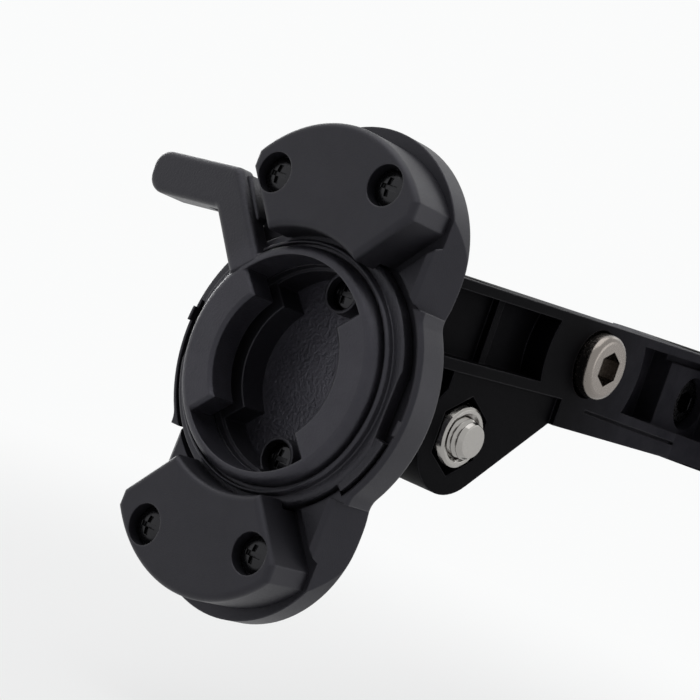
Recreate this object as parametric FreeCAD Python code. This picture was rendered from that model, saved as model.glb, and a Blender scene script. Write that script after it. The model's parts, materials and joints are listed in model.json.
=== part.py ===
import FreeCAD, Part
import collections
import math
import os

# Seatpost light mount: a split arm clamps round the post, and a tilting head at its
# other end carries a bayonet socket with a lever-turned lock ring. Millimetres.
# Row frame: origin on the post's axis at mid height of the clamp, +Z along the post,
# the head towards -Y, the bolts along X.

V = FreeCAD.Vector
ALONG_X = V(1, 0, 0)
ALONG_Y = V(0, 1, 0)
ALONG_Z = V(0, 0, 1)

# Fits
PLAY = 0.3
RUNNING_GAP = 0.05
SCREW_ROOM = 0.1
THREAD_GAP = 0.02

# Lock ring: widths outwards from its bore, heights from its front face towards the arm
RING_BORE_R = 12.4
LIP_W = 1.3
LIP_ROUND = 1.2
LIP_H = 1.5
RING_GROOVE_W = 0.5
RING_GROOVE_DEPTH = 0.8
STEP_W = 0.9
STEP_H = 1.1
STEP_ROUND = 0.3
FLANGE_W = 1.3
FLANGE_H = 1.8
FLANGE_FLAT = 0.65
LUG_REACH = 3.5
LUG_SPAN = 88.5
LUG_H = 3.8
LUG_CHAMFER = 0.4
EAR_W = 0.8
EAR_START = -37.0
EAR_END = -12.0
EAR_STOP_GAP = 1.3
RING_TURN = 70.0

# Lever of the lock ring
ROOT_ANGLE = 137.2
ELBOW_ANGLE = 134.5
LEVER_LENGTH = 9.76
LEVER_W = 4.6
LEVER_H = 2.4
ELBOW_ROUND = 1.3
CROOK_ROUND = 0.9
TIP_ANGLE = 184.1
TIP_LENGTH = 12.9
TIP_W = 5.2
TIP_H = 5.0
TIP_STEP = 4.0
TIP_ROUND = 2.2
LEVER_ROUND = 0.9

# Base plate
SIDE_WALL_T = 0.7
LOBE_R = 14.75
LOBE_RIM = 1.55
WAIST_ROUND = 2.5
WALL_DROP = 0.9
WALL_CHAMFER = 0.4
LAND_HALF = 12.3
LAND_FOOT = 14.5
LAND_SHOULDER = 0.7
PLATE_T = 3.5
SLOT_DEPTH = 1.1
NOTCH_LEDGE = 0.4
HUB_R = 14.2
HUB_H = 1.4
NIB_W = 1.8
NIB_H = 0.5
NIB_ANGLE = -5.0
BACK_ROUND = 0.6

# Covers that keep the ring down
COVER_PROUD = 1.8
COVER_RING_GAP = 0.6
COVER_TIP_HALF = 6.7
COVER_SLOPE = 48.4
COVER_HALF = 12.2
COVER_FACET_H = 2.0
COVER_HEIGHT = 12.5
COVER_ROUND = 0.8
COVER_LAND_GAP = 1.4
COVER_SCREW_LEFT = -8.6
COVER_SCREW_LEFT_H = 4.7
COVER_SCREW_RIGHT = 7.15
COVER_SCREW_RIGHT_H = 7.2
COVER_SCREW_R = 1.1
COVER_HEAD_R = 2.1
COVER_HEAD_H = 1.3
COVER_SINK = 1.9
COVER_MOUTH_R = 2.4
COVER_SCREW_GRIP = 2.4

# Screws in the cup, each in a boss that rises from its floor
FLOOR_SCREW_INSET = 2.3
FLOOR_SCREW_R = 1.1
FLOOR_HEAD_R = 1.9
FLOOR_HEAD_H = 0.9
FLOOR_SINK = 1.4
FLOOR_MOUTH_R = 2.1
BOSS_WALL = 0.35
BOSS_H = 2.8
CROSS_W = 0.55
CROSS_SPAN = 2.2
CROSS_DEPTH = 0.6

# Hinge bracket
BRACKET_T = 2.5
BRACKET_ROUND = 0.8
TONGUE_T = 5.0
TONGUE_ROOT_HALF = 8.2
HINGE_BEHIND = 15.1
HINGE_BELOW = 0.4
HEAD_TILT = -4.3
KNUCKLE_R = 7.4

# Arm: heights and lengths from the hinge axis
ARM_W = 18.0
ARM_TOP = 18.1
ARM_BOTTOM = 4.0
ARM_NOSE = 11.3
NOSE_ROUND = 1.0
NOSE_BOTTOM = 7.5
GUSSET_ANGLE = 38.0
KNUCKLE_INSET = 0.8
KNUCKLE_ROOM = 1.0
KNUCKLE_FLANK = 135.0
POCKET_BOTTOM = 8.9
POCKET_TOP = 16.9
POCKET_DEPTH = 3.4
POCKET_ROUND = 1.0
POCKET_RIB_Y = 1.5
POCKET_RIB_W = 1.2
POCKET_RIB_DROP = 2.4
REAR_POCKET_BOTTOM = 8.2
REAR_POCKET_FALL = 1.75
REAR_POCKET_DEPTH = 5.0
BLOCK_GAP = 10.0
BLOCK_DROP = 1.8
BLOCK_SLIT_W = 0.95
BLOCK_SLIT_DEPTH = 1.0
BOSS_R = 11.0
ARM_SCREW_Y = 21.6
ARM_SCREW_Z = 12.8
ARM_SCREW_PROUD = 2.2
GROOVE_START = 1.4
GROOVE_LENGTH = 24.0
GROOVE_Z = 6.66
GROOVE_FALL = 1.28
GROOVE_W = 0.4
GROOVE_DEPTH = 0.5
WASHER_T = 0.5
WASHER_R = 6.5

# Post clamp
POST_DISTANCE = 74.0
POST_R = 13.6
LINER_T = 2.2
CLAMP_WALL = 4.2
CLAMP_BOTTOM = 2.6
CLAMP_SPLIT = 1.6
CLAMP_SCREW_REACH = 23.2
CLAMP_SCREW_Z = 11.1
CLAMP_LUG_T = 7.2
CLAMP_LUG_END = 6.0
CLAMP_LUG_HALF_H = 5.5
CLAMP_LUG_ROUND = 4.95
FLARE_START = 27.0
FLARE_LENGTH = 13.0
FLARE_OUT = 4.15

# Hardware: M5 at the hinge and in the arm, M4 in the clamp
M5_R = 2.5
M5_CAP_R = 4.25
M5_CAP_H = 5.0
M5_SOCKET_AF = 4.0
M5_NUT_AF = 8.0
M5_NUT_H = 4.7
M4_R = 2.0
M4_CAP_R = 3.5
M4_CAP_H = 4.0
M4_SOCKET_AF = 3.0
M4_NUT_AF = 7.0
M4_NUT_H = 3.2
CAP_ROUND = 0.9
CAP_ROOM = 0.3
NUT_ROOM = 0.35
SINK_W = 0.5
BOLT_END = 1.5
END_CHAMFER = 0.4
SEAT_WEB = 1.5
HINGE_WEB = 1.1
NUT_BEVEL = 0.75
NUT_FACE_INSET = 0.15

# Radii round the ring axis
LIP_R = RING_BORE_R + LIP_W
STEP_R = LIP_R + STEP_W
FLANGE_R = STEP_R + FLANGE_W
EAR_R = FLANGE_R + EAR_W
EAR_SLOT_R = EAR_R + PLAY
SIDE_R = EAR_SLOT_R + SIDE_WALL_T
RECESS_R = FLANGE_R + PLAY
LUG_BORE_R = RING_BORE_R - LUG_REACH
ELBOW_R = LIP_R + LEVER_LENGTH
COVER_BORE_R = STEP_R + COVER_RING_GAP
COVER_REACH = COVER_BORE_R + COVER_HEIGHT
LOBE_Z = COVER_REACH + LOBE_RIM - LOBE_R
FLOOR_SCREW_Z = RING_BORE_R - FLOOR_SCREW_INSET
COVER_SCREWS = (
    (COVER_SCREW_LEFT, COVER_BORE_R + COVER_SCREW_LEFT_H),
    (COVER_SCREW_RIGHT, COVER_BORE_R + COVER_SCREW_RIGHT_H),
)

# Levels of the head, from the ring's front face towards the arm
FLANGE_TOP = LIP_H + STEP_H
RING_BACK = FLANGE_TOP + FLANGE_H
SEAT = RING_BACK + PLAY
WALL_TOP = FLANGE_TOP + WALL_DROP
SLOT_BACK = SEAT + SLOT_DEPTH
BASE_BACK = SEAT + PLATE_T
CUP_FLOOR = BASE_BACK + HUB_H
BOSS_TOP = CUP_FLOOR - BOSS_H
BRACKET_BACK = CUP_FLOOR + BRACKET_T
HINGE_Y = BRACKET_BACK + HINGE_BEHIND

# Places on the arm
ARM_HALF = ARM_W / 2
SLOT_HALF = TONGUE_T / 2 + RUNNING_GAP + WASHER_T
SLOT_END = KNUCKLE_R + KNUCKLE_ROOM
KNUCKLE_FACE = ARM_HALF - KNUCKLE_INSET
HINGE_SEAT = SLOT_HALF + HINGE_WEB
ARM_HEAD_SEAT = ARM_HALF + ARM_SCREW_PROUD - M5_CAP_H
ARM_NUT_SEAT = ARM_HALF - M5_NUT_H
CLAMP_BORE_R = POST_R + LINER_T
CLAMP_OUT_R = CLAMP_BORE_R + CLAMP_WALL
BLOCK_START = ARM_SCREW_Y + BOSS_R + BLOCK_GAP
FRONT_SCREW_Y = POST_DISTANCE - CLAMP_SCREW_REACH
REAR_SCREW_Y = POST_DISTANCE + CLAMP_SCREW_REACH
CLAMP_SEAT = CLAMP_SPLIT / 2 + SEAT_WEB
CLAMP_HEIGHT = ARM_TOP - CLAMP_BOTTOM
CLAMP_MID_Z = CLAMP_BOTTOM + CLAMP_HEIGHT / 2
POCKET_FINISH = FRONT_SCREW_Y + M4_CAP_R + CAP_ROOM
ARM_ORIGIN = V(0, -POST_DISTANCE, -CLAMP_MID_Z)

BIG = 200.0
NEAR = 0.1


def disc(radius, y0, y1, x=0.0, z=0.0):
    """Cylinder along Y between two levels of the head."""
    return Part.makeCylinder(radius, y1 - y0, V(x, y0, z), ALONG_Y)


def rod(radius, x0, x1, y, z):
    """Cylinder along X between two widths of the arm."""
    return Part.makeCylinder(radius, x1 - x0, V(x0, y, z), ALONG_X)


def block(x0, x1, y0, y1, z0, z1):
    """Box from its lowest and highest corners."""
    return Part.makeBox(x1 - x0, y1 - y0, z1 - z0, V(x0, y0, z0))


def polar(radius, angle, y=0.0):
    """Point at a radius and an angle from +X towards +Z round the ring axis."""
    turn = math.radians(angle)
    return V(radius * math.cos(turn), y, radius * math.sin(turn))


def head_plate(points, y0, y1):
    """Flat plate with a straight-sided outline of (x, z) points."""
    corners = [V(x, y0, z) for x, z in points]
    face = Part.Face(Part.makePolygon(corners + corners[:1]))
    return face.extrude(V(0, y1 - y0, 0))


def arm_plate(points, x0, x1):
    """Flat plate along X with a straight-sided outline of (y, z) points."""
    corners = [V(x0, y, z) for y, z in points]
    face = Part.Face(Part.makePolygon(corners + corners[:1]))
    return face.extrude(V(x1 - x0, 0, 0))


def sector(inner, outer, start, end, y0, y1):
    """Part of a ring between two angles and two levels."""
    middle = (start + end) / 2
    edges = [
        Part.LineSegment(polar(inner, start, y0), polar(outer, start, y0)).toShape(),
        Part.Arc(polar(outer, start, y0), polar(outer, middle, y0), polar(outer, end, y0)).toShape(),
        Part.LineSegment(polar(outer, end, y0), polar(inner, end, y0)).toShape(),
        Part.Arc(polar(inner, end, y0), polar(inner, middle, y0), polar(inner, start, y0)).toShape(),
    ]
    return Part.Face(Part.Wire(edges)).extrude(V(0, y1 - y0, 0))


def half_turn(shape):
    """The same shape turned half a turn about the ring axis."""
    copy = shape.copy()
    copy.rotate(V(0, 0, 0), ALONG_Y, 180)
    return copy


def edges_at(shape, axis, level):
    """Edges that lie wholly in the plane at a level of one axis (0, 1 or 2)."""
    return [e for e in shape.Edges if all(abs(v.Point[axis] - level) < 1e-4 for v in e.Vertexes)
            and abs(e.CenterOfMass[axis] - level) < 1e-4]


def upright_edges(shape, axis, place, reach):
    """Straight edges along an axis whose middle lies within reach of a place across it."""
    across = [i for i in range(3) if i != axis]
    found = []
    for edge in shape.Edges:
        ends = [v.Point for v in edge.Vertexes]
        if len(ends) != 2 or any(abs(ends[0][i] - ends[1][i]) > 1e-6 for i in across):
            continue
        if math.hypot(*(ends[0][i] - p for i, p in zip(across, place))) < reach:
            found.append(edge)
    return found


def place_head(shape):
    """Carry a shape from the head's own frame to the row frame, with the head tilted."""
    copy = shape.copy()
    copy.translate(V(0, -HINGE_Y, HINGE_BELOW))
    copy.rotate(V(0, 0, 0), ALONG_X, HEAD_TILT)
    copy.translate(ARM_ORIGIN)
    return copy


def place_arm(shape):
    """Carry a shape from the arm's frame, with the hinge at its origin, to the row frame."""
    copy = shape.copy()
    copy.translate(ARM_ORIGIN)
    return copy


def save(name, shape, place):
    """Write one piece in the row frame."""
    done = place(shape)
    done.exportStep(os.path.join("parts", name + ".step"))


def ring_body():
    """Turned section of the lock ring: rounded lip, groove, step and flange round an open bore."""
    lip, step = LIP_ROUND, STEP_ROUND
    bend = math.sqrt(0.5)
    rim = FLANGE_R - step
    ridge = LIP_R + RING_GROOVE_W
    trough = LIP_H + RING_GROOVE_DEPTH

    def spot(radius, y):
        return V(radius, y, 0)

    def line(a, b):
        return Part.LineSegment(spot(*a), spot(*b)).toShape()

    def rounding(radius, y, size):
        start = spot(radius - size, y)
        middle = spot(radius - size + size * bend, y + size - size * bend)
        return Part.Arc(start, middle, spot(radius, y + size)).toShape()

    edges = [
        line((RING_BORE_R, 0), (LIP_R - lip, 0)),
        rounding(LIP_R, 0, lip),
        line((LIP_R, lip), (LIP_R, trough)),
        line((LIP_R, trough), (ridge, trough)),
        line((ridge, trough), (ridge, LIP_H)),
        line((ridge, LIP_H), (STEP_R - step, LIP_H)),
        rounding(STEP_R, LIP_H, step),
        line((STEP_R, LIP_H + step), (STEP_R, FLANGE_TOP)),
        line((STEP_R, FLANGE_TOP), (rim, FLANGE_TOP)),
        rounding(FLANGE_R, FLANGE_TOP, step),
        line((FLANGE_R, FLANGE_TOP + step), (FLANGE_R, RING_BACK)),
        line((FLANGE_R, RING_BACK), (RING_BORE_R, RING_BACK)),
        line((RING_BORE_R, RING_BACK), (RING_BORE_R, 0)),
    ]
    return Part.Face(Part.Wire(edges)).revolve(V(0, 0, 0), ALONG_Y, 360)


def crossing(start, along, other, other_along):
    """Where two lines in a plane across the ring axis meet."""
    gap = other - start
    turn = along.x * other_along.z - along.z * other_along.x
    return start + along * ((gap.x * other_along.z - gap.z * other_along.x) / turn)


def lever():
    """Flat lever: a bar from the ring, a bent elbow and a deeper rounded finger tip."""
    root = polar((RING_BORE_R + LIP_R) / 2, ROOT_ANGLE)
    elbow = polar(ELBOW_R, ELBOW_ANGLE)
    bar = (elbow - root).normalize()
    right = V(bar.z, 0, -bar.x) * (LEVER_W / 2)
    tip = polar(1, TIP_ANGLE)
    up = V(tip.z, 0, -tip.x) * (TIP_W / 2)
    end = elbow + tip * TIP_LENGTH
    step = elbow + tip * TIP_STEP
    bend = crossing(elbow + right, bar, elbow + up, tip)
    crook = crossing(elbow - right, bar, elbow - up, tip)
    rounds = {TIP_ROUND: (end + up, end - up), ELBOW_ROUND: (bend,), CROOK_ROUND: (crook,)}

    def plate(points, y1):
        body = head_plate([(p.x, p.z) for p in points], 0, y1)
        for radius, corners in rounds.items():
            edges = []
            for p in corners:
                edges += upright_edges(body, 1, (p.x, p.z), NEAR)
            if edges:
                body = body.makeFillet(radius, edges)
        return body

    flat = plate((root + right, bend, end + up, end - up, crook, root - right), LEVER_H)
    whole = flat.fuse(plate((step + up, end + up, end - up, step - up), TIP_H)).removeSplitter()
    rim = [e for e in edges_at(whole, 1, 0) if e.CenterOfMass.Length > LIP_R + LEVER_W / 2]
    return whole.makeFillet(LEVER_ROUND, rim)


def lug(middle):
    """Bayonet lug inside the ring, its inner edges bevelled at the front."""
    outer = (RING_BORE_R + LIP_R) / 2
    body = sector(LUG_BORE_R, outer, middle - LUG_SPAN / 2, middle + LUG_SPAN / 2, 0, LUG_H)
    rim = [e for e in edges_at(body, 1, 0) if e.CenterOfMass.Length < RING_BORE_R - LUG_CHAMFER]
    return body.makeChamfer(LUG_CHAMFER, rim)


def lock_ring():
    """Lock ring with two lugs, two stop ears and its lever, moulded in one piece."""
    ring = ring_body()
    flat = FLANGE_R - FLANGE_FLAT
    side = block(flat, BIG, FLANGE_TOP - STEP_ROUND, BIG, -BIG, BIG)
    ring = ring.cut(side).cut(half_turn(side))
    for middle in (0, 180):
        ring = ring.fuse(lug(middle))
    ear = sector(STEP_R, EAR_R, EAR_START, EAR_END, FLANGE_TOP + STEP_ROUND, RING_BACK)
    ring = ring.fuse(ear).fuse(half_turn(ear))
    return ring.fuse(lever()).removeSplitter()


def cover_corner():
    """Height of a cover's tip and of the outer end of its slanted edge."""
    tip_z = math.sqrt(COVER_BORE_R ** 2 - COVER_TIP_HALF ** 2)
    return tip_z, tip_z + (COVER_HALF - COVER_TIP_HALF) * math.tan(math.radians(COVER_SLOPE))


def upper_cover():
    """Keeper plate: concave round the ring, slanted flanks, a domed outer edge, roofed flange."""
    tip_z, slope_z = cover_corner()
    facet_z = slope_z + COVER_FACET_H
    top = -COVER_PROUD

    def spot(x, z):
        return V(x, top, z)

    edges = []
    bore = Part.Arc(spot(-COVER_TIP_HALF, tip_z), spot(0, COVER_BORE_R), spot(COVER_TIP_HALF, tip_z))
    edges.append(bore.toShape())
    right = [(COVER_TIP_HALF, tip_z), (COVER_HALF, slope_z), (COVER_HALF, facet_z)]
    for a, b in zip(right, right[1:]):
        edges.append(Part.LineSegment(spot(*a), spot(*b)).toShape())
    crown = Part.Arc(spot(COVER_HALF, facet_z), spot(0, COVER_REACH), spot(-COVER_HALF, facet_z))
    edges.append(crown.toShape())
    for a, b in zip(right[::-1], right[-2::-1]):
        edges.append(Part.LineSegment(spot(-a[0], a[1]), spot(-b[0], b[1])).toShape())
    body = Part.Face(Part.Wire(edges)).extrude(V(0, SEAT - top, 0))
    body = body.makeFillet(COVER_ROUND, edges_at(body, 1, top))
    body = body.cut(disc(RECESS_R, FLANGE_TOP - PLAY, SEAT + 1))
    for x, z in COVER_SCREWS:
        body = body.cut(disc(COVER_MOUTH_R, top - 1, top + COVER_SINK, x, z))
        body = body.cut(disc(COVER_SCREW_R + SCREW_ROOM, top, SEAT + 1, x, z))
    return body


def seat_wedge():
    """Space above the seats of a cover: a wedge whose flanks run beside the cover's slants."""
    tip_z, _ = cover_corner()
    slope = math.tan(math.radians(COVER_SLOPE))
    apex = tip_z - COVER_TIP_HALF * slope - COVER_LAND_GAP / math.cos(math.radians(COVER_SLOPE))
    return head_plate([(0, apex), (BIG, apex + BIG * slope), (-BIG, apex + BIG * slope)], -BIG, SEAT)


def waist_corner():
    """Where the round side of the base meets a lobe."""
    z = (LOBE_Z ** 2 + SIDE_R ** 2 - LOBE_R ** 2) / (2 * LOBE_Z)
    return math.sqrt(SIDE_R ** 2 - z ** 2), z


def lobe_flank(z0):
    """Space beside the right flank of a lobe: a slanted side with a bevelled front edge."""
    lean = (LAND_FOOT - LAND_HALF) / (BASE_BACK - WALL_TOP)
    bevel = WALL_CHAMFER
    points = [(LAND_HALF - bevel, WALL_TOP), (LAND_HALF + lean * bevel, WALL_TOP + bevel),
              (LAND_FOOT, BASE_BACK), (BIG, BASE_BACK), (BIG, WALL_TOP)]
    corners = [V(x, y, z0) for x, y in points]
    return Part.Face(Part.makePolygon(corners + corners[:1])).extrude(V(0, 0, BIG))


def base_blank():
    """Waisted outline with bevelled side walls and slanted lobe flanks, and a round hub behind."""
    body = disc(SIDE_R, WALL_TOP, BASE_BACK)
    for z in (LOBE_Z, -LOBE_Z):
        body = body.fuse(disc(LOBE_R, WALL_TOP, BASE_BACK, 0, z))
    body = body.removeSplitter()
    meet_x, meet_z = waist_corner()
    waist = []
    for x in (meet_x, -meet_x):
        for z in (meet_z, -meet_z):
            waist += upright_edges(body, 1, (x, z), NEAR)
    body = body.makeFillet(WAIST_ROUND, waist)
    body = body.makeChamfer(WALL_CHAMFER, edges_at(body, 1, WALL_TOP))
    body = body.makeFillet(BACK_ROUND, edges_at(body, 1, BASE_BACK))
    flank = lobe_flank(meet_z + LAND_SHOULDER)
    flank = flank.fuse(flank.mirror(V(0, 0, 0), ALONG_X))
    body = body.cut(flank).cut(half_turn(flank))
    return body.fuse(disc(HUB_R, SEAT, CUP_FLOOR)).removeSplitter()


def key_hole():
    """Cup behind the ring: a slot under the lugs, then walls that follow the lugs and notches."""
    hole = disc(RING_BORE_R, SEAT - 1, SLOT_BACK).fuse(disc(LUG_BORE_R, SEAT - 1, CUP_FLOOR + 1))
    notch = sector(LUG_BORE_R / 2, RING_BORE_R - NOTCH_LEDGE, LUG_SPAN / 2, 180 - LUG_SPAN / 2,
                   SEAT - 1, CUP_FLOOR + 1)
    return hole.fuse(notch).fuse(half_turn(notch))


def base_plate():
    """Base with a recess for the ring, slots for its ears, a cup, cover seats and screw holes."""
    body = base_blank()
    wedge = seat_wedge()
    body = body.cut(wedge).cut(half_turn(wedge))
    body = body.cut(disc(RECESS_R, -1, SEAT))
    slot_end = EAR_END + RING_TURN + EAR_STOP_GAP
    slot = sector(FLANGE_R, EAR_SLOT_R, EAR_START - EAR_STOP_GAP, slot_end, -1, SEAT)
    body = body.cut(slot).cut(half_turn(slot))
    body = body.cut(key_hole())
    for x, z in COVER_SCREWS:
        pilot = disc(COVER_SCREW_R + THREAD_GAP, SEAT - 1, SEAT + COVER_SCREW_GRIP + PLAY, x, z)
        body = body.cut(pilot).cut(half_turn(pilot))
    for z in (FLOOR_SCREW_Z, -FLOOR_SCREW_Z):
        body = body.fuse(disc(FLOOR_MOUTH_R + BOSS_WALL, BOSS_TOP, CUP_FLOOR, 0, z))
        body = body.cut(disc(FLOOR_MOUTH_R, BOSS_TOP - 1, BOSS_TOP + FLOOR_SINK, 0, z))
        body = body.cut(disc(FLOOR_SCREW_R + SCREW_ROOM, BOSS_TOP, CUP_FLOOR + 1, 0, z))
    half_nib = math.degrees(NIB_W / 2 / SIDE_R)
    nib = sector(EAR_SLOT_R, SIDE_R - WALL_CHAMFER, NIB_ANGLE - half_nib, NIB_ANGLE + half_nib,
                 WALL_TOP - NIB_H, WALL_TOP + WALL_CHAMFER)
    return body.fuse(nib).fuse(half_turn(nib)).removeSplitter()


def cross_screw(shank_r, head_r, head_h, grip, top):
    """Small screw along Y: domed head with a cross recess, top at a level, plain shank."""
    rise = head_h / 2
    dome_r = (head_r ** 2 + rise ** 2) / (2 * rise)
    head = disc(head_r, top, top + head_h)
    head = head.common(Part.makeSphere(dome_r, V(0, top + dome_r, 0)))
    body = head.fuse(disc(shank_r, top + head_h / 2, top + head_h + grip))
    for x, z in ((CROSS_SPAN, CROSS_W), (CROSS_W, CROSS_SPAN)):
        body = body.cut(block(-x / 2, x / 2, top - 1, top + CROSS_DEPTH, -z / 2, z / 2))
    return body.removeSplitter()


def cover_screw_pair():
    """The two screws of the upper cover, seated in its counterbores."""
    seat = COVER_SINK - COVER_PROUD
    grip = SEAT - seat + COVER_SCREW_GRIP
    screws = []
    for x, z in COVER_SCREWS:
        screw = cross_screw(COVER_SCREW_R, COVER_HEAD_R, COVER_HEAD_H, grip, seat - COVER_HEAD_H)
        screw.translate(V(x, 0, z))
        screws.append(screw)
    return Part.makeCompound(screws)


def floor_screws():
    """The two screws that hold the bracket, sunk in the bosses of the cup."""
    seat = BOSS_TOP + FLOOR_SINK
    screws = []
    for z in (FLOOR_SCREW_Z, -FLOOR_SCREW_Z):
        grip = BRACKET_BACK - seat
        screw = cross_screw(FLOOR_SCREW_R, FLOOR_HEAD_R, FLOOR_HEAD_H, grip, seat - FLOOR_HEAD_H)
        screw.translate(V(0, 0, z))
        screws.append(screw)
    return Part.makeCompound(screws)


def hinge_bracket():
    """Round foot that closes the cup from behind, with a tapered tongue and the hinge barrel."""
    foot = disc(HUB_R, CUP_FLOOR, BRACKET_BACK)
    foot = foot.makeFillet(BRACKET_ROUND, edges_at(foot, 1, BRACKET_BACK))
    t = TONGUE_T / 2
    axis = V(0, HINGE_Y, -HINGE_BELOW)
    root = TONGUE_ROOT_HALF
    sunk = BRACKET_BACK - BRACKET_ROUND
    web = [(sunk, root), (HINGE_Y, KNUCKLE_R - HINGE_BELOW),
           (HINGE_Y, -KNUCKLE_R - HINGE_BELOW), (sunk, -root)]
    tongue = arm_plate(web, -t, t).fuse(rod(KNUCKLE_R, -t, t, axis.y, axis.z))
    body = foot.fuse(tongue).removeSplitter()
    sides = [e for e in edges_at(body, 1, BRACKET_BACK) if abs(e.CenterOfMass.x) > t - NEAR]
    joins = [e for e in sides if e.Length < 3 * root]
    body = body.makeFillet(BRACKET_ROUND, joins)
    body = body.cut(rod(M5_R + RUNNING_GAP, -BIG, BIG, axis.y, axis.z))
    for z in (FLOOR_SCREW_Z, -FLOOR_SCREW_Z):
        body = body.cut(disc(FLOOR_SCREW_R + THREAD_GAP, CUP_FLOOR - 1, BRACKET_BACK + 1, 0, z))
    return body


def hexagon(across_flats, x0, x1, y, z):
    """Hexagonal prism along X, with two corners up and down."""
    radius = across_flats / math.sqrt(3)
    corners = []
    for i in range(6):
        turn = math.radians(90 + 60 * i)
        corners.append((y + radius * math.cos(turn), z + radius * math.sin(turn)))
    return arm_plate(corners, x0, x1)


def rounded_box(y0, y1, z0, z1, x0, x1, radius):
    """Plate along X with rounded corners."""
    body = block(x0, x1, y0, y1, z0, z1)
    corners = []
    for y in (y0, y1):
        for z in (z0, z1):
            corners += upright_edges(body, 0, (y, z), NEAR)
    return body.makeFillet(radius, corners)


def arm_outline():
    """Side wall of one arm half: beam that flares to the clamp, rounded nose, knuckle and gusset."""
    turn = math.radians(GUSSET_ANGLE)
    touch = (KNUCKLE_R * math.sin(turn), -KNUCKLE_R * math.cos(turn))
    gusset_y = touch[0] + (ARM_BOTTOM - touch[1]) / math.tan(turn)
    beam = arm_plate([(-ARM_NOSE, NOSE_BOTTOM), (-ARM_NOSE, ARM_TOP), (POST_DISTANCE, ARM_TOP),
                      (POST_DISTANCE, CLAMP_BOTTOM), (gusset_y, ARM_BOTTOM), (gusset_y, NOSE_BOTTOM)], 0, BIG)
    nose = upright_edges(beam, 0, (-ARM_NOSE, NOSE_BOTTOM), NEAR)
    nose += upright_edges(beam, 0, (-ARM_NOSE, ARM_TOP), NEAR)
    beam = beam.makeFillet(NOSE_ROUND, nose)
    beam = beam.common(arm_plan())
    flank = math.radians(KNUCKLE_FLANK)
    shoulder = (KNUCKLE_R * math.cos(flank), KNUCKLE_R * math.sin(flank))
    overlap = (NOSE_BOTTOM + POCKET_BOTTOM) / 2
    corners = [(0, 0), touch, (gusset_y, ARM_BOTTOM), (gusset_y, overlap), (shoulder[0], overlap), shoulder]
    gusset = arm_plate(corners, 0, KNUCKLE_FACE)
    return beam.fuse(gusset).fuse(rod(KNUCKLE_R, 0, KNUCKLE_FACE, 0, 0))


def arm_plan():
    """Plan of one arm half: straight side, then a flare that runs into the clamp ring."""
    flare = POST_DISTANCE - FLARE_START
    points = [(0, -ARM_NOSE), (ARM_HALF, -ARM_NOSE), (ARM_HALF, flare),
              (ARM_HALF + FLARE_OUT, flare + FLARE_LENGTH), (0, flare + FLARE_LENGTH)]
    corners = [V(x, y, -BIG) for x, y in points]
    return Part.Face(Part.makePolygon(corners + corners[:1])).extrude(V(0, 0, 2 * BIG))


def rear_pocket(end, top, floor):
    """Pocket behind the screw boss; its lower side falls towards the clamp."""
    fall = REAR_POCKET_FALL / (POCKET_FINISH - ARM_SCREW_Y)
    start_y, start_z = ARM_SCREW_Y, REAR_POCKET_BOTTOM
    end_z = start_z - fall * (end - start_y)
    body = arm_plate([(start_y, start_z), (start_y, top), (end, top), (end, end_z)], floor, BIG)
    corners = upright_edges(body, 0, (end, top), NEAR) + upright_edges(body, 0, (end, end_z), NEAR)
    return body.makeFillet(min(POCKET_ROUND, BLOCK_SLIT_W / 2), corners)


def arm_pockets():
    """Pockets in the outer face, open round the screw boss, with a slit block for the clamp screw."""
    floor = ARM_HALF - POCKET_DEPTH
    open_end = -ARM_NOSE - 2 * POCKET_ROUND
    front = rounded_box(open_end, ARM_SCREW_Y, POCKET_BOTTOM, POCKET_TOP, floor, BIG, POCKET_ROUND)
    rib_y = POCKET_RIB_Y - POCKET_RIB_W / 2
    rib = block(0, ARM_HALF - POCKET_RIB_DROP, rib_y, rib_y + POCKET_RIB_W, POCKET_BOTTOM, POCKET_TOP)
    face = ARM_HALF - BLOCK_DROP
    rear = rear_pocket(BLOCK_START, POCKET_TOP, ARM_HALF - REAR_POCKET_DEPTH)
    rear = rear.fuse(rear_pocket(POCKET_FINISH, POCKET_TOP, face))
    slit = block(face - BLOCK_SLIT_DEPTH, BIG, BLOCK_START - POCKET_ROUND, POCKET_FINISH - POCKET_ROUND,
                 POCKET_TOP - BLOCK_SLIT_W, POCKET_TOP)
    boss = rod(BOSS_R, -1, BIG + 1, ARM_SCREW_Y, ARM_SCREW_Z)
    return front.cut(rib).fuse(rear).fuse(slit).cut(boss)


def post_clamp():
    """Half ring round the post, with a lug for the screw behind it."""
    ring = Part.makeCylinder(CLAMP_OUT_R, CLAMP_HEIGHT, V(0, POST_DISTANCE, CLAMP_BOTTOM), ALONG_Z)
    ring = ring.common(block(0, BIG, -BIG, BIG, -BIG, BIG))
    lug_end = rounded_box(POST_DISTANCE, REAR_SCREW_Y + CLAMP_LUG_END, CLAMP_SCREW_Z - CLAMP_LUG_HALF_H,
                          CLAMP_SCREW_Z + CLAMP_LUG_HALF_H, 0, CLAMP_LUG_T, CLAMP_LUG_ROUND)
    return ring.fuse(lug_end)


def groove():
    """Fine sloping groove in the lower flange behind the screw boss."""
    y0 = ARM_SCREW_Y + GROOVE_START
    y1 = y0 + GROOVE_LENGTH
    z1 = GROOVE_Z - GROOVE_FALL
    half = GROOVE_W / 2
    return arm_plate([(y0, GROOVE_Z - half), (y0, GROOVE_Z + half), (y1, z1 + half), (y1, z1 - half)],
                     ARM_HALF - GROOVE_DEPTH, BIG)


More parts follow.
